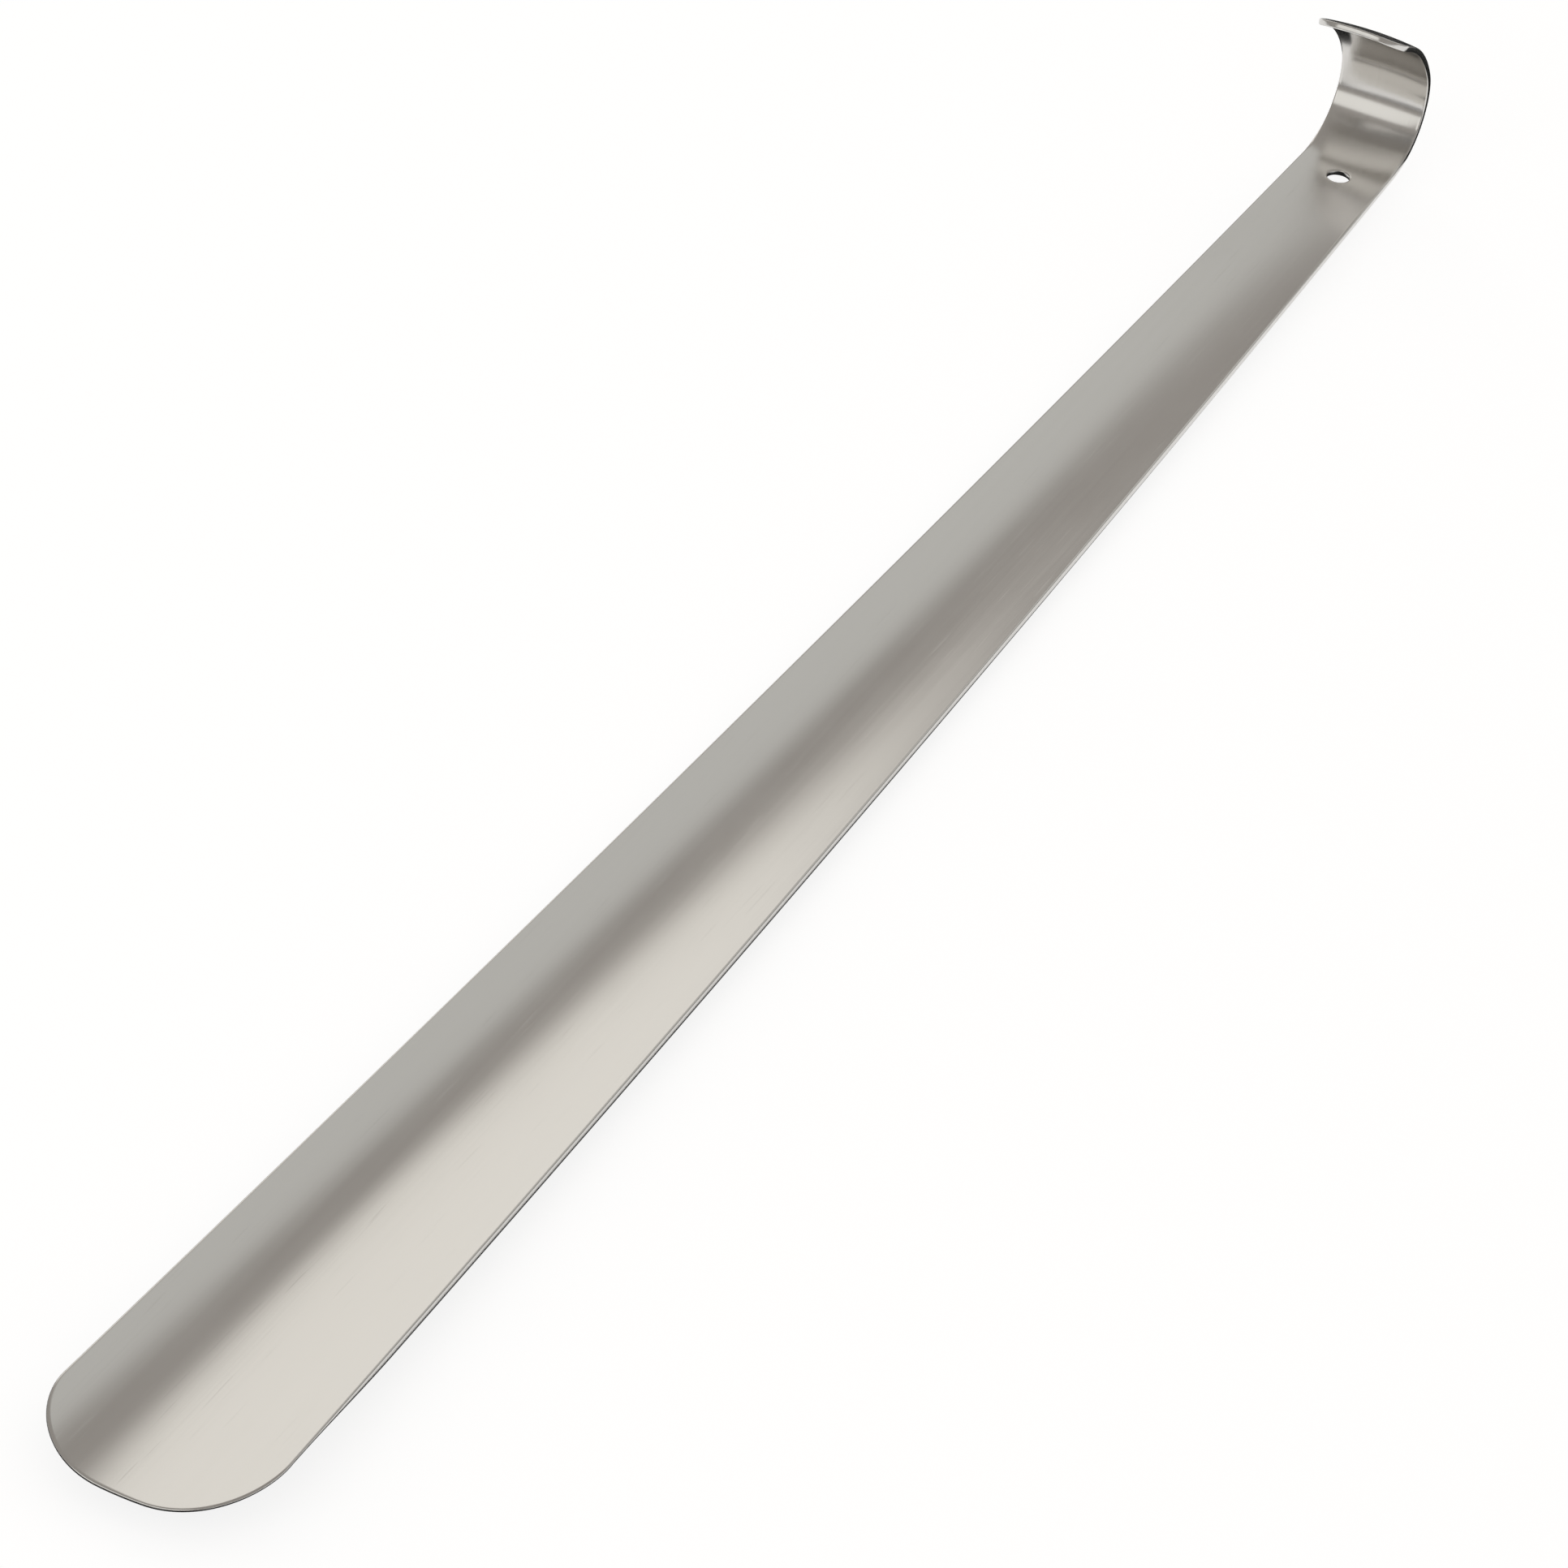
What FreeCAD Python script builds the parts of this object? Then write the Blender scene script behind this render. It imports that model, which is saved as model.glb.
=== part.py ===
"""Long shoehorn: one strip of sheet steel, pressed into a trough and bent into a hook at the handle end.

It lies on its convex back. +Z is up, +Y runs from the tip to the hook, and the origin is the middle of
the object's box, on the surface that the back rests on. The strip is drawn from the outside of the
trough's bottom at the tip, where it runs level along +Y, and the finished body is then laid down by its
Placement. Lengths are in millimetres.
"""
import FreeCAD, Part
import math
import os

import Sketcher

os.makedirs("parts", exist_ok=True)
doc = FreeCAD.newDocument("long_shoehorn")

# ---- driving dimensions -------------------------------------------------------------------------
DIMENSIONS = [
    ("overall_length", 600.0, "tip to the outside of the hook"),
    ("sheet_thickness", 1.5, "sheet steel"),
    ("bow_radius", 9600.0, "lengthwise bow of the blade's back"),
    ("tip_width", 47.0, "straight across the trough, at the tip"),
    ("tip_depth", 4.5, "depth of the trough at the tip"),
    ("middle_width", 35.2, "half way along the blade"),
    ("middle_depth", 3.5, "depth of the trough there"),
    ("neck_width", 22.6, "from the neck to the end of the lip"),
    ("neck_depth", 0.7, "depth of the trough in the neck and the hook"),
    ("tip_corner_radius", 19.5, "the two corners that round the tip off"),
    ("lead_radius", 30.0, "inside radius of the open bend that leads into the hook"),
    ("lead_angle", 20.0, "turn of that bend, degrees"),
    ("hook_radius", 13.0, "inside radius of the hook's tight bend"),
    ("hook_angle", 103.0, "turn of the tight bend, degrees"),
    ("lip_radius", 45.0, "inside radius of the open bend that leads out to the lip"),
    ("lip_angle", 30.0, "turn of that bend, degrees"),
    ("lip_length", 11.0, "straight end of the hook"),
    ("lip_corner_radius", 7.2, "the two corners at the end of the lip"),
    ("hole_radius", 2.75, "hanging hole"),
    ("hole_to_hook", 5.2, "hole centre to the start of the hook's first bend"),
    ("corner_spare", 3.0, "how far a corner cut runs past the sheet"),
    ("corner_bite", 0.03, "how far a tip corner's arc runs out through the rims that it joins"),
]

sheet = doc.addObject("Spreadsheet::Sheet", "Sizes")
for row, (alias, value, meaning) in enumerate(DIMENSIONS, start=1):
    sheet.set(f"A{row}", alias)
    sheet.set(f"B{row}", str(value))
    sheet.set(f"C{row}", meaning)
    sheet.setAlias(f"B{row}", alias)
doc.recompute()

SIZE = {alias: value for alias, value, meaning in DIMENSIONS}

# ---- lengths and angles that follow from the driving dimensions ---------------------------------
# The back is one shallow arc, and the hook's bends follow it tangentially. Laid level, the overall length
# less the tight bend's outside radius is then a sum of the sine and the cosine of half the bow's angle, in
# these two shares, and that is solved for the angle.
LEAD_OUTSIDE = "(Sizes.lead_radius + Sizes.sheet_thickness)"
HOOK_OUTSIDE = "(Sizes.hook_radius + Sizes.sheet_thickness)"
LEAD_TURN = "(Sizes.lead_angle * 1deg)"
RADIUS_DROP = "(Sizes.lead_radius - Sizes.hook_radius)"
SINE_SHARE = f"(2 * Sizes.bow_radius - {LEAD_OUTSIDE} + {RADIUS_DROP} * cos({LEAD_TURN}))"
COSINE_SHARE = f"({RADIUS_DROP} * sin({LEAD_TURN}))"
BOW_REACH = f"((Sizes.overall_length - {HOOK_OUTSIDE}) / sqrt({SINE_SHARE} ^ 2 + {COSINE_SHARE} ^ 2))"
HALF_BOW = f"(asin({BOW_REACH}) - atan({COSINE_SHARE} / {SINE_SHARE}))"
FULL_BOW = f"(2 * {HALF_BOW})"
BLADE_CHORD = f"(2 * Sizes.bow_radius * sin({HALF_BOW}))"
HOLE_BOW = f"({FULL_BOW} - Sizes.hole_to_hook / Sizes.bow_radius * 180deg / pi)"

# The tip's arc turns this far to each side, and its sides lean in along the blade by the taper.
TIP_HALF_TURN = "asin(Sizes.tip_width * Sizes.tip_depth / (Sizes.tip_width ^ 2 / 4 + Sizes.tip_depth ^ 2))"
SIDE_TAPER = (
    "atan((3 * Sizes.tip_width - 4 * Sizes.middle_width + Sizes.neck_width)"
    f" / (2 * {BLADE_CHORD}) * cos({TIP_HALF_TURN}))"
)

# Sketcher's own numbers for the points of a curve and for a sketch's two axes.
START, END, CENTRE = 1, 2, 3
H_AXIS, V_AXIS = -1, -2
X_WAY = FreeCAD.Vector(1, 0, 0)
Y_WAY = FreeCAD.Vector(0, 1, 0)
Z_WAY = FreeCAD.Vector(0, 0, 1)

body = doc.addObject("PartDesign::Body", "shoehorn")
body.Label = "shoehorn"


def origin_plane(role):
    return next(feature for feature in body.Origin.OriginFeatures if feature.Role == role)


def named_size(sketch, name, constraint, expression):
    index = sketch.addConstraint(constraint)
    sketch.renameConstraint(index, name)
    sketch.setExpression(f"Constraints.{name}", expression)


def edges_where(shape, wanted):
    """Names of the edges that the test picks out."""
    return [f"Edge{number}" for number, edge in enumerate(shape.Edges, start=1) if wanted(edge)]


def plane_sketch(name, role, axis):
    """A sketch on one of the body's own planes, ready to be moved, and turned about the axis given."""
    sketch = body.newObject("Sketcher::SketchObject", name)
    sketch.AttachmentSupport = [(origin_plane(role), "")]
    sketch.MapMode = "FlatFace"
    sketch.AttachmentOffset = FreeCAD.Placement(FreeCAD.Vector(), FreeCAD.Rotation(axis, 1))
    return sketch


def rise_along_bow(turn):
    """Where the back's arc has turned up by this much: the distance along the blade, and the height."""
    return f"Sizes.bow_radius * sin({turn})", f"Sizes.bow_radius * (1 - cos({turn}))"


def trough_section(name, width, depth, turn):
    """The sheet cut across: two arcs on one centre, one sheet thickness apart, closed by radial ends."""
    along, up = rise_along_bow(turn)
    sketch = plane_sketch(name, "XZ_Plane", X_WAY)
    sketch.setExpression(".AttachmentOffset.Base.y", up)
    sketch.setExpression(".AttachmentOffset.Base.z", f"-{along}")
    sketch.setExpression(".AttachmentOffset.Rotation.Angle", turn)
    inside = f"((Sizes.{width} ^ 2 / 4 + Sizes.{depth} ^ 2) / (2 * Sizes.{depth}))"
    w, d, t = SIZE[width], SIZE[depth], SIZE["sheet_thickness"]
    r = (w**2 / 4 + d**2) / (2 * d)
    half_turn = math.asin(w / 2 / r)
    centre = FreeCAD.Vector(0, r + t, 0)
    start, end = 1.5 * math.pi - half_turn, 1.5 * math.pi + half_turn
    inner = Part.ArcOfCircle(Part.Circle(centre, Z_WAY, r), start, end)
    outer = Part.ArcOfCircle(Part.Circle(centre, Z_WAY, r + t), start, end)
    for piece in (inner, outer):
        sketch.addGeometry(piece, False)
    sketch.addGeometry(Part.LineSegment(inner.StartPoint, outer.StartPoint), False)
    sketch.addGeometry(Part.LineSegment(inner.EndPoint, outer.EndPoint), False)
    sketch.addConstraint([
        Sketcher.Constraint("Coincident", 0, START, 2, START),
        Sketcher.Constraint("Coincident", 1, START, 2, END),
        Sketcher.Constraint("Coincident", 0, END, 3, START),
        Sketcher.Constraint("Coincident", 1, END, 3, END),
        Sketcher.Constraint("Coincident", 0, CENTRE, 1, CENTRE),
        Sketcher.Constraint("PointOnObject", 0, CENTRE, V_AXIS),
        Sketcher.Constraint("PointOnObject", 0, CENTRE, 2),
        Sketcher.Constraint("Symmetric", 0, START, 0, END, V_AXIS),
        Sketcher.Constraint("PointOnObject", 0, CENTRE, 3),
        Sketcher.Constraint("PointOnObject", H_AXIS, START, 1),
    ])
    named_size(sketch, "inside_radius", Sketcher.Constraint("Radius", 0, r), inside)
    outside = f"{inside} + Sizes.sheet_thickness"
    named_size(sketch, "outside_radius", Sketcher.Constraint("Radius", 1, r + t), outside)
    straight_across = Sketcher.Constraint("DistanceX", 0, START, 0, END, w)
    named_size(sketch, "width", straight_across, f"Sizes.{width}")
    return sketch


# ---- blade: the pressed trough, lofted from the tip through the middle to the neck --------------
tip_section = trough_section("tip_section", "tip_width", "tip_depth", "0deg")
middle_section = trough_section("middle_section", "middle_width", "middle_depth", HALF_BOW)
neck_section = trough_section("neck_section", "neck_width", "neck_depth", FULL_BOW)
doc.recompute()

blade = body.newObject("PartDesign::AdditiveLoft", "blade")
blade.Profile = tip_section
blade.Sections = [middle_section, neck_section]
doc.recompute()

# ---- hook: the neck's section carried round three tangent bends to the end of the lip -----------
hook_path = plane_sketch("hook_path", "YZ_Plane", Z_WAY)
neck_along, neck_up = rise_along_bow(FULL_BOW)
hook_path.setExpression(".AttachmentOffset.Base.x", neck_along)
hook_path.setExpression(".AttachmentOffset.Base.y", neck_up)
hook_path.setExpression(".AttachmentOffset.Rotation.Angle", FULL_BOW)

# Each bend's arc starts where the last one ended, and turns up from the direction reached there.
bend_start = FreeCAD.Vector()
turned = 0
for name in ("lead", "hook", "lip"):
    bend_radius = SIZE[f"{name}_radius"] + SIZE["sheet_thickness"]
    bend_turn = math.radians(SIZE[f"{name}_angle"])
    bend_centre = bend_start + FreeCAD.Vector(-math.sin(turned), math.cos(turned), 0) * bend_radius
    from_centre = 1.5 * math.pi + turned
    bend_circle = Part.Circle(bend_centre, Z_WAY, bend_radius)
    bend = Part.ArcOfCircle(bend_circle, from_centre, from_centre + bend_turn)
    number = hook_path.addGeometry(bend, False)
    if number == 0:
        hook_path.addConstraint(Sketcher.Constraint("Coincident", 0, START, H_AXIS, START))
        hook_path.addConstraint(Sketcher.Constraint("PointOnObject", 0, CENTRE, V_AXIS))
    else:
        hook_path.addConstraint(Sketcher.Constraint("Tangent", number - 1, END, number, START))
    bend_size = Sketcher.Constraint("Radius", number, bend_radius)
    named_size(hook_path, f"{name}_outside", bend_size, f"Sizes.{name}_radius + Sizes.sheet_thickness")
    bend_angle = Sketcher.Constraint("Angle", number, bend_turn)
    named_size(hook_path, f"{name}_turn", bend_angle, f"Sizes.{name}_angle * 1deg")
    bend_start = bend.EndPoint
    turned += bend_turn

lip_end = bend_start + FreeCAD.Vector(math.cos(turned), math.sin(turned), 0) * SIZE["lip_length"]
lip = hook_path.addGeometry(Part.LineSegment(bend_start, lip_end), False)
hook_path.addConstraint(Sketcher.Constraint("Tangent", lip - 1, END, lip, START))
lip_run = Sketcher.Constraint("Distance", lip, SIZE["lip_length"])
named_size(hook_path, "lip_length", lip_run, "Sizes.lip_length")
doc.recompute()

hook = body.newObject("PartDesign::AdditivePipe", "hook")
hook.Profile = neck_section
hook.Spine = hook_path
doc.recompute()

# ---- hanging hole: punched square to the sheet, on the centre line, just before the hook --------
hole_sketch = plane_sketch("hole_sketch", "XY_Plane", X_WAY)
hole_along, hole_up = rise_along_bow(HOLE_BOW)
hole_sketch.setExpression(".AttachmentOffset.Base.y", hole_along)
hole_sketch.setExpression(".AttachmentOffset.Base.z", hole_up)
hole_sketch.setExpression(".AttachmentOffset.Rotation.Angle", HOLE_BOW)
hole_sketch.addGeometry(Part.Circle(FreeCAD.Vector(), Z_WAY, SIZE["hole_radius"]), False)
hole_sketch.addConstraint(Sketcher.Constraint("Coincident", 0, CENTRE, H_AXIS, START))
hole_size = Sketcher.Constraint("Radius", 0, SIZE["hole_radius"])
named_size(hole_sketch, "radius", hole_size, "Sizes.hole_radius")

hole = body.newObject("PartDesign::Pocket", "hanging_hole")
hole.Profile = hole_sketch
hole.Type = "Length"
hole.Reversed = True
hole.setExpression("Length", "2 * Sizes.sheet_thickness")
doc.recompute()

# ---- tip corners: one is cut square to the sheet and tangent to the tapering side, the other mirrors it 
# The sketch touches the trough along its right-hand rim, with its X axis out of the side and its Y axis
# along the blade. The arc runs out a hair past both rims, because a cut exactly tangent to them can fail.
corner_sketch = plane_sketch("tip_corner_sketch", "XY_Plane", Y_WAY)
corner_sketch.setExpression(".AttachmentOffset.Base.x", "Sizes.tip_width / 2")
corner_sketch.setExpression(".AttachmentOffset.Base.z", "Sizes.tip_depth + Sizes.sheet_thickness")
corner_sketch.setExpression(".AttachmentOffset.Rotation.Angle", f"-{TIP_HALF_TURN}")

CENTRE_IN = f"Sizes.tip_corner_radius * (tan({SIDE_TAPER}) + 1 / cos({SIDE_TAPER})) - Sizes.corner_bite"
CENTRE_ALONG = "Sizes.tip_corner_radius - Sizes.corner_bite"
radius = SIZE["tip_corner_radius"]
spare = SIZE["corner_spare"]
bite = SIZE["corner_bite"]
taper = math.atan(
    (3 * SIZE["tip_width"] - 4 * SIZE["middle_width"] + SIZE["neck_width"]) / (2 * SIZE["overall_length"])
)
corner_centre = FreeCAD.Vector(bite - radius * (math.tan(taper) + 1 / math.cos(taper)), radius - bite, 0)
corner_arc = Part.ArcOfCircle(Part.Circle(corner_centre, Z_WAY, radius), -math.pi / 2, taper)
on_end, on_side = corner_arc.StartPoint, corner_arc.EndPoint
beside = on_side + FreeCAD.Vector(math.cos(taper), math.sin(taper), 0) * spare
before = on_end - Y_WAY * spare
outside = FreeCAD.Vector(beside.x, before.y, 0)
corner_sketch.addGeometry(corner_arc, False)
for near, far in ((on_side, beside), (beside, outside), (outside, before), (before, on_end)):
    corner_sketch.addGeometry(Part.LineSegment(near, far), False)
corner_sketch.addConstraint([
    Sketcher.Constraint("Coincident", 0, END, 1, START),
    Sketcher.Constraint("Coincident", 1, END, 2, START),
    Sketcher.Constraint("Coincident", 2, END, 3, START),
    Sketcher.Constraint("Coincident", 3, END, 4, START),
    Sketcher.Constraint("Coincident", 4, END, 0, START),
    Sketcher.Constraint("PointOnObject", 0, CENTRE, 1),
    Sketcher.Constraint("PointOnObject", 0, CENTRE, 4),
    Sketcher.Constraint("Vertical", 2),
    Sketcher.Constraint("Horizontal", 3),
    Sketcher.Constraint("Vertical", 4),
])
named_size(corner_sketch, "radius", Sketcher.Constraint("Radius", 0, radius), "Sizes.tip_corner_radius")
centre_in = Sketcher.Constraint("DistanceX", 0, CENTRE, H_AXIS, START, -corner_centre.x)
named_size(corner_sketch, "centre_in", centre_in, CENTRE_IN)
centre_along = Sketcher.Constraint("DistanceY", H_AXIS, START, 0, CENTRE, corner_centre.y)
named_size(corner_sketch, "centre_along", centre_along, CENTRE_ALONG)
named_size(corner_sketch, "side_lean", Sketcher.Constraint("Angle", 1, taper), SIDE_TAPER)
named_size(corner_sketch, "spare_beside", Sketcher.Constraint("Distance", 1, spare), "Sizes.corner_spare")
named_size(corner_sketch, "spare_before", Sketcher.Constraint("Distance", 4, spare), "Sizes.corner_spare")
doc.recompute()

right_corner = body.newObject("PartDesign::Pocket", "right_tip_corner")
right_corner.Profile = corner_sketch
right_corner.Type = "ThroughAll"
right_corner.Midplane = True
doc.recompute()

left_corner = body.newObject("PartDesign::Mirrored", "left_tip_corner")
left_corner.Originals = [right_corner]
left_corner.MirrorPlane = (origin_plane("YZ_Plane"), [""])
body.Tip = left_corner
doc.recompute()

# ---- lip corners: the two short edges through the sheet at the very end of the lip --------------
path_end = hook_path.Shape.Vertexes[-1].Point
corner_reach = math.hypot(SIZE["neck_width"] / 2, SIZE["neck_depth"]) + 2 * SIZE["sheet_thickness"]


EDGE_TOLERANCE = 0.01  # an edge through the sheet is as long as the sheet is thick, within this share


def is_lip_corner(edge):
    at_the_end = all(vertex.Point.distanceToPoint(path_end) < corner_reach for vertex in edge.Vertexes)
    through_the_sheet = math.isclose(edge.Length, SIZE["sheet_thickness"], rel_tol=EDGE_TOLERANCE)
    return at_the_end and through_the_sheet


lip_corners = body.newObject("PartDesign::Fillet", "lip_corners")
lip_corners.Base = (left_corner, edges_where(left_corner.Shape, is_lip_corner))
lip_corners.setExpression("Radius", "Sizes.lip_corner_radius")
body.Tip = lip_corners

# ---- laid on its back: level end to end, with the hook up ---------------------------------------
body.Placement = FreeCAD.Placement(FreeCAD.Vector(), FreeCAD.Rotation(X_WAY, 1))
body.setExpression(".Placement.Base.y", "-Sizes.overall_length / 2")
body.setExpression(".Placement.Base.z", f"Sizes.bow_radius * (1 - cos({HALF_BOW}))")
body.setExpression(".Placement.Rotation.Angle", f"-{HALF_BOW}")
doc.recompute()

# ---- checks, then the STEP file -----------------------------------------------------------------
for thing in doc.Objects:
    if "Invalid" in thing.State or "Error" in thing.State:
        raise RuntimeError(f"{thing.Label} did not compute: {thing.State}")


CUT_TOLERANCE = 0.2  # the sheet is curved, so a cut's volume is only near its flat size, by this share


def check_volume(name, removed, expected):
    """A cut that points away from the sheet removes nothing and says nothing, so each one is measured."""
    if not math.isclose(removed, expected, rel_tol=CUT_TOLERANCE):
        raise RuntimeError(f"{name} took away {removed:.1f} mm3 and not about {expected:.1f}")


def cut_by(feature, base):
    return base.Shape.Volume - feature.Shape.Volume


thickness = SIZE["sheet_thickness"]
outside_arc = 1 - math.pi / 4
check_volume("hanging hole", cut_by(hole, hook), math.pi * SIZE["hole_radius"] ** 2 * thickness)
for feature, base in ((right_corner, hole), (left_corner, right_corner)):
    tip_corner = outside_arc * SIZE["tip_corner_radius"] ** 2 * thickness
    check_volume(feature.Label, cut_by(feature, base), tip_corner)
both_lip_corners = 2 * outside_arc * SIZE["lip_corner_radius"] ** 2 * thickness
check_volume("lip corners", cut_by(lip_corners, left_corner), both_lip_corners)

if body.Shape.isNull() or not body.Shape.isValid() or len(body.Shape.Solids) != 1:
    raise RuntimeError("the shoehorn is not one valid solid")
body.Shape.exportStep(os.path.join("parts", f"{body.Label}.step"))
box = body.Shape.optimalBoundingBox()
print(f"{body.Label}: {box.XLength:.2f} x {box.YLength:.2f} x {box.ZLength:.2f} mm, from z {box.ZMin:.2f}")
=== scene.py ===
"""Long shoehorn: one strip of brushed stainless steel, pressed into a trough and bent into a hook.

Everything is in metres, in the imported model's own frame: +Z up, +Y from the tip to the hook.
"""
import math

import bmesh
import bpy
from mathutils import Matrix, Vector


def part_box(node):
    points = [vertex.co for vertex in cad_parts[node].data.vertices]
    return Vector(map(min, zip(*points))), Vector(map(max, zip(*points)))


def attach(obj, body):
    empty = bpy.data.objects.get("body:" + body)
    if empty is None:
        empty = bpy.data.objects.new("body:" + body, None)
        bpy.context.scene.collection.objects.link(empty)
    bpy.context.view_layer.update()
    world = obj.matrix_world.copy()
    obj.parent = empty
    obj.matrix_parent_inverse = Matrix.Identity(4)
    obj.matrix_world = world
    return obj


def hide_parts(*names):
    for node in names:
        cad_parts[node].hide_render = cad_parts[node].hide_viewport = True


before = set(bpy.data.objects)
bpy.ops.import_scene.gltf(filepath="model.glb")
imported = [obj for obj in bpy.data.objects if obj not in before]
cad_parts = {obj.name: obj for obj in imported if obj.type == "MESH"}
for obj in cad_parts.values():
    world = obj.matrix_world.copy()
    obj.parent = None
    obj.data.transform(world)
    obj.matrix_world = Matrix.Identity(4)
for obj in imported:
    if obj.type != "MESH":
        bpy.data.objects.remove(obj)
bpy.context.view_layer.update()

bpy.ops.object.select_all(action="DESELECT")

# ---- shoehorn: the strip -----------------------------------------------------------------------------
# The real piece is a single strip of 1.5 mm stainless sheet. It is cut out flat with rounded ends and a
# hole, pressed into a trough that fades towards the neck, and bent round there into the hook. Last of all
# the sharp rims are taken off and the faces are brushed lengthwise.
LOWEST, HIGHEST = (Vector(corner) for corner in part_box("shoehorn"))
OVERALL_LENGTH = HIGHEST.y - LOWEST.y
THICKNESS = 0.0015
BOW_RADIUS = 9.6  # of the blade's back
LEAD_RADIUS, LEAD_ANGLE = 0.030, math.radians(20)  # inside radius and turn of the bend into the hook
HOOK_RADIUS, HOOK_ANGLE = 0.013, math.radians(103)  # of the tight bend
LIP_RADIUS, LIP_ANGLE = 0.045, math.radians(30)  # and of the open bend that leads out to the lip
LIP_LENGTH = 0.011
WIDTHS = (0.047, 0.0352, 0.0226)  # straight across the trough at the tip, half way and at the neck
DEPTHS = (0.0045, 0.0035, 0.0007)  # and how deep it is there
TIP_CORNER, LIP_CORNER = 0.0195, 0.0072
HOLE_RADIUS = 0.00275
HOLE_TO_HOOK = 0.0052
DEBURRING, DEBURRING_STEPS = 0.00035, 4  # radius that the rims are rounded to
SHARP_RIM = math.radians(60)  # a rim turns by more than this, and nothing else does
SHADED_SMOOTH = math.radians(50)
RIM_BAND = 0.0008  # a band of faces along every rim keeps the faces beside it flat when the rim is rounded

# The blade's back is one shallow arc, level from end to end, and the hook's bends follow it tangentially.
sine_share = 2 * BOW_RADIUS - LEAD_RADIUS - THICKNESS + (LEAD_RADIUS - HOOK_RADIUS) * math.cos(LEAD_ANGLE)
cosine_share = (LEAD_RADIUS - HOOK_RADIUS) * math.sin(LEAD_ANGLE)
bow_reach = (OVERALL_LENGTH - HOOK_RADIUS - THICKNESS) / math.hypot(sine_share, cosine_share)
half_bow = math.asin(bow_reach) - math.atan(cosine_share / sine_share)
blade_length = 2 * half_bow * (BOW_RADIUS - THICKNESS)
# The arcs of the strip's front face, from the tip on: how long each is and its radius. The lip is straight.
BENDS = (
    (blade_length, BOW_RADIUS - THICKNESS),
    (LEAD_ANGLE * LEAD_RADIUS, LEAD_RADIUS),
    (HOOK_ANGLE * HOOK_RADIUS, HOOK_RADIUS),
    (LIP_ANGLE * LIP_RADIUS, LIP_RADIUS),
)
strip_length = sum(length for length, radius in BENDS) + LIP_LENGTH
hole_along = blade_length - HOLE_TO_HOOK
tip_point = Vector((
    0,
    LOWEST.y + THICKNESS * math.sin(half_bow),
    LOWEST.z + BOW_RADIUS * (1 - math.cos(half_bow)) + THICKNESS * math.cos(half_bow),
))


def between(sizes, along):
    """A size part of the way along the blade, on the smooth curve through its three values."""
    tip, middle, neck = sizes
    share = min(along / blade_length, 1)
    left = 1 - share
    return tip * left * (left - share) + 4 * middle * share * left + neck * share * (share - left)


def trough_radius(along):
    half, depth = between(WIDTHS, along) / 2, between(DEPTHS, along)
    return (half**2 + depth**2) / (2 * depth)


def half_width(along):
    """Half of the flat strip's width, which is half of the trough's arc."""
    radius = trough_radius(along)
    return radius * math.asin(between(WIDTHS, along) / 2 / radius)


def centre_line(along):
    """The middle of the bent strip's front face, this far from the tip, and how far it has turned up."""
    point, turn = tip_point.copy(), -half_bow
    for length, radius in BENDS:
        step = min(along, length)
        along -= step
        turned = turn + step / radius
        forward, upward = math.sin(turned) - math.sin(turn), math.cos(turn) - math.cos(turned)
        point += radius * Vector((0, forward, upward))
        turn = turned
    return point + along * Vector((0, math.cos(turn), math.sin(turn))), turn


def formed(across, along):
    """Where a point of the flat strip goes when the strip is pressed and bent."""
    point, turn = centre_line(along)
    radius = trough_radius(along)
    sideways = radius * math.sin(across / radius)
    rise = radius * (1 - math.cos(across / radius))
    return point + Vector((sideways, -rise * math.sin(turn), rise * math.cos(turn)))


def inner_half_width(along):
    return half_width(along) - RIM_BAND


def round_the_end(distance, corner, width_at):
    """A point of an outline, this far round from the middle of the end: (across, in from the end)."""
    straight = width_at(0) - corner
    if distance <= straight:
        return Vector((distance, 0))
    turn = min((distance - straight) / corner, math.pi / 2)
    along = corner * (1 - math.cos(turn)) + max(distance - straight - corner * math.pi / 2, 0)
    return Vector((width_at(along) - corner * (1 - math.sin(turn)), along))


def rounded_end(corner, reach, rows, width_at):
    """The mesh's rows from an end to past its corners: each maps -1..1 to (across, in from the end)."""
    half_end = width_at(0) - corner + corner * math.pi / 4
    side = corner * math.pi / 4 + reach - corner
    corner_point = round_the_end(half_end, corner, width_at)

    def row_at(share):
        rim = round_the_end(half_end + share * side, corner, width_at)

        def place(part):
            end = round_the_end(abs(part) * half_end, corner, width_at)
            across = abs(part) * rim.x + (1 - share) * (end.x - abs(part) * corner_point.x)
            return math.copysign(across, part), rim.y + (1 - share) * (end.y - corner_point.y)

        return place

    return [row_at(row / rows) for row in range(rows)]


def straight_row(along):
    return lambda part: (part * inner_half_width(along), along)


def evenly(start, end, pitch):
    """Places from the start up to the end, not counting the end, about a pitch apart."""
    count = round((end - start) / pitch)
    return [start + (end - start) * number / count for number in range(count)]


COLUMNS = 36
column_pitch = 2 * inner_half_width(hole_along) / COLUMNS
BLADE_PITCH, BEND_PITCH, LIP_BEND_PITCH, LIP_PITCH = 0.0028, 0.00065, 0.0007, 0.0008  # from row to row
TIP_REACH, LIP_REACH = 0.025, 0.009  # how much of the strip each rounded end takes up
TIP_ROWS, LIP_ROWS = 18, 14
HOLE_CELLS = 6  # the hole starts as a square, this many columns each side of its centre
HOLE_MARGIN_CELLS = 10  # and the mesh is square again this far out

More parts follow.
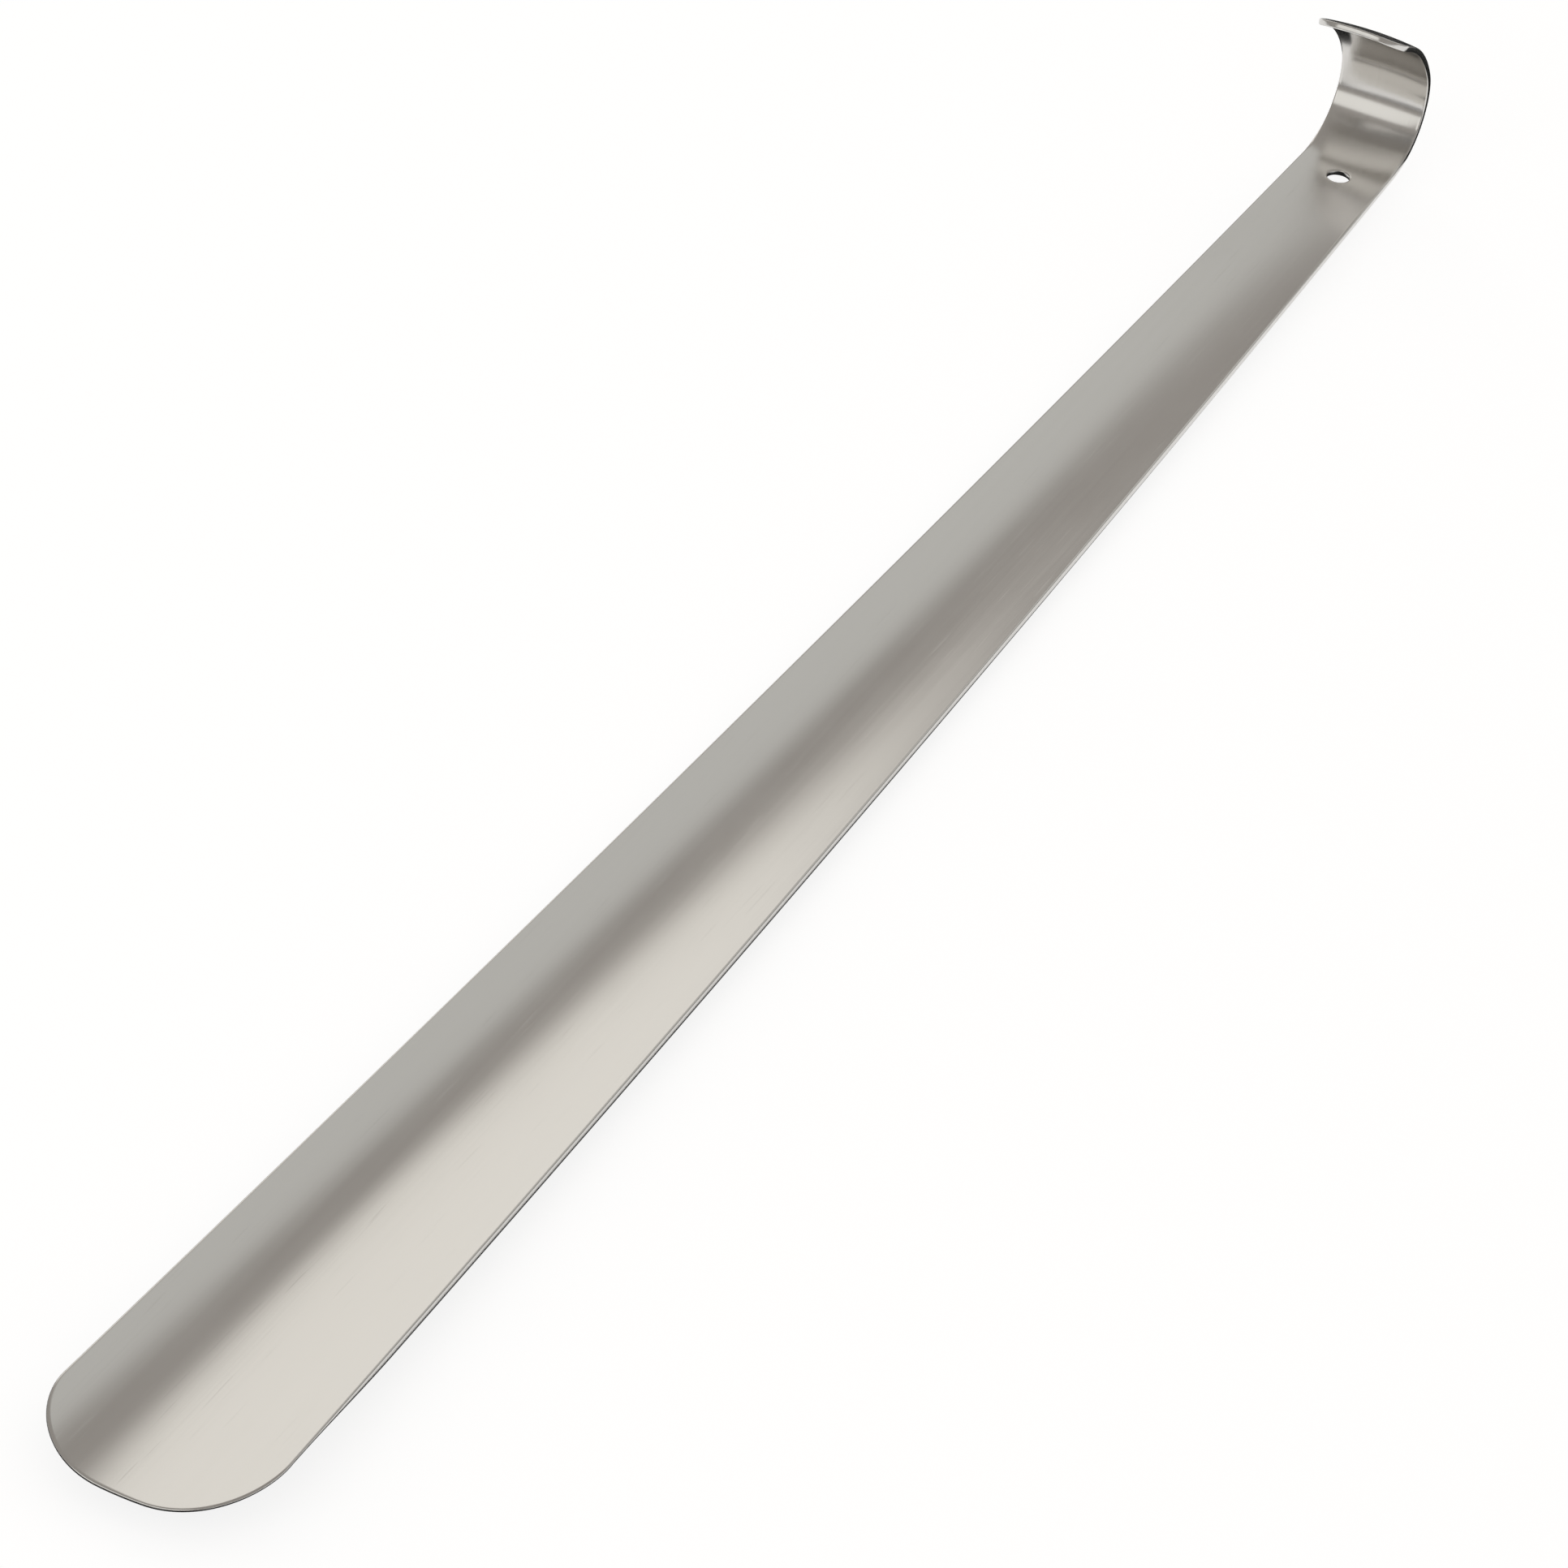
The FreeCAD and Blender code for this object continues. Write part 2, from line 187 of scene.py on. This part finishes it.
hole_start = hole_along - HOLE_MARGIN_CELLS * column_pitch
hole_end = hole_along + HOLE_MARGIN_CELLS * column_pitch
lip_bend_start = blade_length + BENDS[1][0] + BENDS[2][0]
lip_start = lip_bend_start + BENDS[3][0]
row_places = (
    evenly(TIP_REACH, hole_start, BLADE_PITCH)
    + evenly(hole_start, hole_end, column_pitch)
    + evenly(hole_end, lip_bend_start, BEND_PITCH)
    + evenly(lip_bend_start, lip_start, LIP_BEND_PITCH)
    + evenly(lip_start, strip_length - LIP_REACH, LIP_PITCH)
    + [strip_length - LIP_REACH]
)
tip_rows = rounded_end(TIP_CORNER - RIM_BAND, TIP_REACH - RIM_BAND, TIP_ROWS, inner_half_width)
lip_rows = rounded_end(
    LIP_CORNER - RIM_BAND, LIP_REACH - RIM_BAND, LIP_ROWS,
    lambda along: inner_half_width(strip_length - along),
)


def measured_from(end, way, place):
    """An end's rows, measured along the strip instead of in from the band along that end."""

    def along_strip(part):
        across, inwards = place(part)
        return across, end + way * (RIM_BAND + inwards)

    return along_strip


rows = (
    [measured_from(0, 1, place) for place in tip_rows]
    + [straight_row(along) for along in row_places]
    + [measured_from(strip_length, -1, place) for place in reversed(lip_rows)]
)

bpy.ops.mesh.primitive_grid_add(x_subdivisions=COLUMNS, y_subdivisions=len(rows) - 1, size=1)
shoehorn = bpy.context.object
shoehorn.name = "steel_strip"
bpy.ops.object.mode_set(mode="EDIT")
strip = bmesh.from_edit_mesh(shoehorn.data)
for vertex in strip.verts:
    row = rows[round((vertex.co.y + 0.5) * (len(rows) - 1))]
    vertex.co.x, vertex.co.y = row(2 * vertex.co.x)

# Relaxing the mesh inside the rounded ends evens out the cells beside their corners.
bpy.ops.mesh.select_all(action="DESELECT")
for vertex in strip.verts:
    at_an_end = vertex.co.y < TIP_REACH or vertex.co.y > strip_length - LIP_REACH
    vertex.select = at_an_end and not vertex.is_boundary
bmesh.update_edit_mesh(shoehorn.data)
RELAXING, RELAXING_ROUNDS = 0.5, 60
bpy.ops.mesh.vertices_smooth(factor=RELAXING, repeat=RELAXING_ROUNDS)

# The hole: a square of faces goes, and the mesh round it is drawn out into a circle.
HOLE_CENTRE = Vector((0, hole_along, 0))
square_half = HOLE_CELLS * column_pitch
square_end = HOLE_MARGIN_CELLS * column_pitch
strip = bmesh.from_edit_mesh(shoehorn.data)
bpy.ops.mesh.select_all(action="DESELECT")
for face in strip.faces:
    middle = face.calc_center_median() - HOLE_CENTRE
    face.select = max(abs(middle.x), abs(middle.y)) < square_half
bmesh.update_edit_mesh(shoehorn.data)
bpy.ops.mesh.delete(type="FACE")
strip = bmesh.from_edit_mesh(shoehorn.data)
for vertex in strip.verts:
    away = vertex.co - HOLE_CENTRE
    reach = max(abs(away.x), abs(away.y))
    if reach < square_end:
        share = max((reach - square_half) / (square_end - square_half), 0)
        round_place = away.normalized() * (HOLE_RADIUS + RIM_BAND + reach - square_half)
        vertex.co = HOLE_CENTRE + round_place.lerp(away, share * share * (3 - 2 * share))

# The band along the rims: every open edge is extruded and moved out square to itself.
bpy.ops.mesh.select_all(action="DESELECT")
for edge in strip.edges:
    edge.select_set(edge.is_boundary)
bmesh.update_edit_mesh(shoehorn.data)
bpy.ops.mesh.extrude_edges_indiv()
strip = bmesh.from_edit_mesh(shoehorn.data)
outwards = {}
for vertex in strip.verts:
    if vertex.select:
        outwards[vertex] = Vector()
        for edge in vertex.link_edges:
            if edge.is_boundary:
                side = edge.link_loops[0]
                way = side.link_loop_next.vert.co - side.vert.co
                outwards[vertex] += Vector((way.y, -way.x, 0)).normalized()
for vertex, out in outwards.items():
    vertex.co += out.normalized() * RIM_BAND

# The tip is ground thinner on the back, so that it slips in behind a heel: at the rim to this share of the
# thickness, which is back to full this far in. Along the sides the grinding runs out.
GROUND_REACH, GROUND_SHARE = 0.012, 0.5
GROUND_SIDE = 2 * TIP_CORNER
full_thickness = shoehorn.vertex_groups.new(name="full_thickness")
strip.verts.ensure_lookup_table()
weights = []
for vertex in strip.verts:
    from_rim = min(half_width(max(vertex.co.y, 0)) - abs(vertex.co.x), vertex.co.y)
    corner_in = Vector((half_width(0) - TIP_CORNER, TIP_CORNER))
    past_centre = Vector((abs(vertex.co.x), vertex.co.y)) - corner_in
    if past_centre.x > 0 and past_centre.y < 0:
        from_rim = TIP_CORNER - past_centre.length
    along_side = min(max(vertex.co.y - TIP_CORNER, 0) / GROUND_SIDE, 1)
    share = min(max(from_rim, 0) / GROUND_REACH, 1)
    weights.append(max(share * (2 - share), along_side * along_side * (3 - 2 * along_side)))
strip.verts.index_update()

# The brushing follows the flat strip, so the strip's own place before it is bent is kept as its UV map.
strip = bmesh.from_edit_mesh(shoehorn.data)
flat_place = strip.loops.layers.uv.verify()
for face in strip.faces:
    for corner in face.loops:
        corner[flat_place].uv = (corner.vert.co.x / strip_length + 0.5, corner.vert.co.y / strip_length)

# Pressing and bending.
for vertex in strip.verts:
    vertex.co = formed(vertex.co.x, vertex.co.y)
bmesh.update_edit_mesh(shoehorn.data)
bpy.ops.object.mode_set(mode="OBJECT")

for index, weight in enumerate(weights):
    full_thickness.add([index], weight, "REPLACE")
sheet = shoehorn.modifiers.new("sheet", "SOLIDIFY")
sheet.vertex_group = full_thickness.name
sheet.thickness_vertex_group = GROUND_SHARE
sheet.thickness = THICKNESS
sheet.offset = -1
sheet.material_offset_rim = 1
deburred = shoehorn.modifiers.new("deburred", "BEVEL")
deburred.width = DEBURRING
deburred.segments = DEBURRING_STEPS
deburred.limit_method = "ANGLE"
deburred.angle_limit = SHARP_RIM
deburred.use_clamp_overlap = False


class Wire:
    """An output of a shader node. Sums written with it add Math nodes to its tree."""

    def __init__(self, socket):
        self.socket = socket
        self.tree = socket.id_data

    @classmethod
    def node(cls, tree, kind, settings=None, sockets=None, output=0):
        """Adds a node: first its settings, then the value of each socket or the wire that feeds it."""
        made = tree.nodes.new(kind)
        for name, value in (settings or {}).items():
            setattr(made, name, value)
        for name, value in (sockets or {}).items():
            if isinstance(value, cls):
                tree.links.new(value.socket, made.inputs[name])
            else:
                made.inputs[name].default_value = value
        return cls(made.outputs[output]) if made.outputs else None

    def maths(self, operation, first, second):
        return Wire.node(self.tree, "ShaderNodeMath", {"operation": operation}, {0: first, 1: second})

    def __add__(self, other):
        return self.maths("ADD", self, other)

    def __radd__(self, other):
        return self.maths("ADD", other, self)

    def __sub__(self, other):
        return self.maths("SUBTRACT", self, other)

    def __rsub__(self, other):
        return self.maths("SUBTRACT", other, self)

    def __mul__(self, other):
        return self.maths("MULTIPLY", self, other)

    def __rmul__(self, other):
        return self.maths("MULTIPLY", other, self)

    def ease(self, start, end):
        """0 up to the start, 1 from the end on, and a smooth rise between them."""
        return Wire.node(
            self.tree, "ShaderNodeMapRange", {"interpolation_type": "SMOOTHSTEP"},
            {"Value": self, "From Min": start, "From Max": end},
        )


def new_material(name):
    material = bpy.data.materials.new(name)
    material.use_nodes = True
    material.node_tree.nodes.clear()
    return material, material.node_tree


def strip_pattern(tree, per_metre_across, per_metre_along, detail=2.0, shift=0.0):
    """Noise drawn out along the flat strip, from 0 to 1, this fine across it and along it."""
    flat = Wire.node(tree, "ShaderNodeUVMap", {"uv_map": "UVMap"})
    stretched = Wire.node(tree, "ShaderNodeMapping", sockets={
        "Vector": flat,
        "Location": (shift, shift, 0),
        "Scale": (per_metre_across * strip_length, per_metre_along * strip_length, 1),
    })
    return Wire.node(tree, "ShaderNodeTexNoise", {"noise_dimensions": "2D"}, {
        "Vector": stretched, "Scale": 1, "Detail": detail, "Roughness": 0.6,
    })


def tinted(tree, low, high, mask):
    return Wire.node(tree, "ShaderNodeMix", {"data_type": "RGBA"}, {0: mask, 6: low, 7: high}, output=2)


# Brushed faces: fine lines along the strip, a few longer and deeper ones, and the cloudiness of handling.
STEEL_LIGHT, STEEL_DARK = (0.675, 0.660, 0.637, 1), (0.640, 0.624, 0.598, 1)
BRUSHED_ROUGHNESS = 0.105  # where the steel is cleanest
BRUSHING_DEPTH = 0.0000012
steel, tree = new_material("brushed_steel")
fine_lines = strip_pattern(tree, per_metre_across=2600, per_metre_along=14, detail=3)
broad_lines = strip_pattern(tree, per_metre_across=700, per_metre_along=5, shift=3.7)
clouds = strip_pattern(tree, per_metre_across=70, per_metre_along=28, detail=4, shift=11.3)
scratches = strip_pattern(tree, per_metre_across=1500, per_metre_along=45, detail=1, shift=23.1)
scratches = scratches.ease(0.70, 0.80)
finish = BRUSHED_ROUGHNESS + fine_lines * 0.05 + broad_lines * 0.03 + clouds * 0.05 + scratches * 0.05
relief = fine_lines * 0.6 + broad_lines * 1.0 - scratches * 0.5
bump = Wire.node(tree, "ShaderNodeBump", sockets={
    "Strength": 1, "Distance": BRUSHING_DEPTH, "Height": relief,
})
surface = Wire.node(tree, "ShaderNodeBsdfPrincipled", sockets={
    "Base Color": tinted(tree, STEEL_DARK, STEEL_LIGHT, broad_lines * 0.5 + clouds * 0.5),
    "Metallic": 1,
    "Roughness": finish,
    "Normal": bump,
})
Wire.node(tree, "ShaderNodeOutputMaterial", sockets={"Surface": surface})
shoehorn.data.materials.append(steel)

# Rims: cut edges that a fine belt has rounded, a little duller than the faces.
RIM_LIGHT, RIM_DARK = (0.70, 0.69, 0.67, 1), (0.60, 0.585, 0.56, 1)
BELT_ROUGHNESS = 0.17
BELT_DEPTH = 0.000001
rim_steel, tree = new_material("belt_finished_rim")
belt_marks = strip_pattern(tree, per_metre_across=900, per_metre_along=900, detail=3, shift=5.9)
bump = Wire.node(tree, "ShaderNodeBump", sockets={
    "Strength": 1, "Distance": BELT_DEPTH, "Height": belt_marks,
})
surface = Wire.node(tree, "ShaderNodeBsdfPrincipled", sockets={
    "Base Color": tinted(tree, RIM_DARK, RIM_LIGHT, belt_marks),
    "Metallic": 1,
    "Roughness": BELT_ROUGHNESS + belt_marks * 0.06,
    "Normal": bump,
})
Wire.node(tree, "ShaderNodeOutputMaterial", sockets={"Surface": surface})
shoehorn.data.materials.append(rim_steel)

bpy.ops.object.modifier_apply(modifier=sheet.name)
bpy.ops.object.modifier_apply(modifier=deburred.name)
bpy.ops.object.shade_smooth_by_angle(angle=SHADED_SMOOTH)
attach(shoehorn, "root")
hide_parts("shoehorn")

# ---- studio: floor and backdrop ----------------------------------------------------------------------
# A plain pale table top, and an even pale surround that only the camera sees.
FLOOR_SIZE, SURROUND_RADIUS = 8, 3.9
FLOOR_SHADE, FLOOR_GLOW, SURROUND_GLOW = 0.35, 0.84, 0.97


def matt(name, shade, glow):
    """A dull grey surface that also glows white, so that shadows on it stay faint."""
    material, tree = new_material(name)
    surface = Wire.node(tree, "ShaderNodeBsdfPrincipled", sockets={
        "Base Color": (shade, shade, shade, 1),
        "Roughness": 1,
        "Specular IOR Level": 0,
        "Emission Color": (1, 1, 1, 1),
        "Emission Strength": glow,
    })
    Wire.node(tree, "ShaderNodeOutputMaterial", sockets={"Surface": surface})
    return material


bpy.ops.object.select_all(action="DESELECT")
bpy.ops.mesh.primitive_plane_add(size=FLOOR_SIZE)
floor = bpy.context.object
floor.name = "floor"
floor.data.materials.append(matt("pale_floor", FLOOR_SHADE, FLOOR_GLOW))

bpy.ops.mesh.primitive_uv_sphere_add(segments=48, ring_count=24, radius=SURROUND_RADIUS)
surround = bpy.context.object
surround.name = "surround"
surround.data.materials.append(matt("pale_surround", 0, SURROUND_GLOW))
surround.visible_diffuse = False
surround.visible_glossy = False
surround.visible_shadow = False

# ---- studio: painted shade and reflection on the floor -----------------------------------------------
# Sheets that only the steel sees, painting shade and a reflection into it. The black ones are painted shade:
# they lie under the strip, past its tip and behind the hook, so that the lower edges show as thin dark
# lines.
# The hook mirrors the grey one, to the left, as a painted dark band.
PAINTED_SHEET_LIFT = 0.0001
PAINTED_SHADE_BLACK, PAINTED_REFLECTION_GREY = 0.01, 0.36


def make_reflected_shade(name, shade, corners):
    """A sheet of painted shade that only the steel mirrors, through four corners: near left, near right, far
    left and far right.
    """
    bpy.ops.mesh.primitive_plane_add(size=1, location=(0, 0, PAINTED_SHEET_LIFT))
    shade_plane = bpy.context.object
    shade_plane.name = name
    for vertex, corner in zip(shade_plane.data.vertices, corners):
        vertex.co.x, vertex.co.y = corner
    material, tree = new_material(name)
    colour = (shade, shade, shade, 1)
    glowing = Wire.node(tree, "ShaderNodeEmission", sockets={"Color": colour, "Strength": 1})
    Wire.node(tree, "ShaderNodeOutputMaterial", sockets={"Surface": glowing})
    shade_plane.data.materials.append(material)
    shade_plane.visible_camera = False
    shade_plane.visible_diffuse = False
    shade_plane.visible_shadow = False


# painted shade: black sheets that the steel mirrors as the dark shade under and behind it
make_reflected_shade("black_painted_shade", PAINTED_SHADE_BLACK, (
    (-0.060, -0.36), (0.048, -0.36), (-0.005, 0.30), (0.007, 0.30),
))
make_reflected_shade("black_painted_shade_behind", PAINTED_SHADE_BLACK, (
    (-0.030, 0.302), (0.060, 0.302), (-0.100, 0.60), (0.060, 0.60),
))
# painted reflection: a grey sheet that the hook mirrors as a dark band
make_reflected_shade("grey_painted_reflection", PAINTED_REFLECTION_GREY, (
    (-0.90, -1.40), (-0.062, -1.40), (-0.90, 0.17), (-0.062, 0.17),
))

# ---- studio: lights ----------------------------------------------------------------------------------
# Large soft sources round the table, in a dim room: a warm window and a grey wall lean past each other
# beyond the hook, with a dim gap between them, and a pale reflector stands behind the camera.
WINDOW_GLOW = (1.06, 1.035, 0.985, 1)
WALL_GLOW = (0.66, 0.66, 0.64, 1)
REFLECTOR_GLOW = (1.05, 1.04, 1.01, 1)
ROOM_GLOW = (0.375, 0.355, 0.335, 1)
BELOW_THE_TABLE = (0.02, 0.02, 0.02, 1)
HORIZON_BLUR = 0.1
FAR_SIDE, NEAR_SIDE = 1.5, -1.5  # how far along the table the lights stand
UPRIGHT = math.radians(90)


def light_card(name, glow, centre, size, fade, lean=0):
    """An upright glowing rectangle, leaning by so many degrees, that fades out this far in from its edge."""
    bpy.ops.object.select_all(action="DESELECT")
    bpy.ops.mesh.primitive_plane_add(size=1, location=centre, rotation=(UPRIGHT, math.radians(lean), 0))
    card = bpy.context.object
    card.name = name
    card.scale = (size[0], size[1], 1)
    material, tree = new_material(name)
    place = Wire.node(tree, "ShaderNodeTexCoord", output=3)
    shown = 1
    for axis in range(2):
        middle_out = Wire.node(tree, "ShaderNodeSeparateXYZ", sockets={0: place}, output=axis)
        middle_out = middle_out.maths("ABSOLUTE", middle_out, 0)
        shown = shown * (1 - middle_out.ease(0.5 - fade[axis] / size[axis], 0.5))
    glowing = Wire.node(tree, "ShaderNodeEmission", sockets={"Color": glow, "Strength": 1})
    clear = Wire.node(tree, "ShaderNodeBsdfTransparent")
    mixed = Wire.node(tree, "ShaderNodeMixShader", sockets={0: shown, 1: clear, 2: glowing})
    Wire.node(tree, "ShaderNodeOutputMaterial", sockets={"Surface": mixed})
    card.data.materials.append(material)
    card.visible_camera = False
    card.visible_shadow = False


light_card(
    "window", WINDOW_GLOW, centre=(-1.465, FAR_SIDE, 1.10), size=(1.40, 2.25), fade=(0.17, 0.32), lean=30
)
light_card(
    "grey_wall", WALL_GLOW, centre=(0.354, FAR_SIDE, 1.14), size=(1.39, 2.2), fade=(0.18, 0.30), lean=27
)
light_card(
    "reflector", REFLECTOR_GLOW, centre=(-0.45, NEAR_SIDE, 1.05), size=(1.5, 1.4), fade=(0.12, 0.12)
)

world = bpy.data.worlds.new("room")
world.use_nodes = True
tree = world.node_tree
tree.nodes.clear()
direction = Wire.node(tree, "ShaderNodeTexCoord", output=0)
height = Wire.node(tree, "ShaderNodeSeparateXYZ", sockets={0: direction}, output=2)
sky = tinted(tree, BELOW_THE_TABLE, ROOM_GLOW, height.ease(-HORIZON_BLUR, HORIZON_BLUR))
background = Wire.node(tree, "ShaderNodeBackground", sockets={"Color": sky, "Strength": 1})
Wire.node(tree, "ShaderNodeOutputWorld", sockets={"Surface": background})
bpy.context.scene.world = world

# ---- studio: camera ----------------------------------------------------------------------------------
# Above and to the right of the tip, looking along the strip towards the hook through a long lens.
CAMERA_PLACE = (0.42845, -1.11506, 0.80313)
CAMERA_TURN = (55.3073, -6.3957, 25.9681)  # degrees
SENSOR_WIDTH, FOCAL_LENGTH = 36, 157.388  # mm
bpy.ops.object.camera_add(location=CAMERA_PLACE, rotation=[math.radians(angle) for angle in CAMERA_TURN])
camera = bpy.context.object
camera.name = "camera"
camera.data.sensor_width = SENSOR_WIDTH
camera.data.lens = FOCAL_LENGTH
camera.data.dof.use_dof = False
bpy.context.scene.camera = camera
bpy.context.scene.view_settings.view_transform = "Standard"
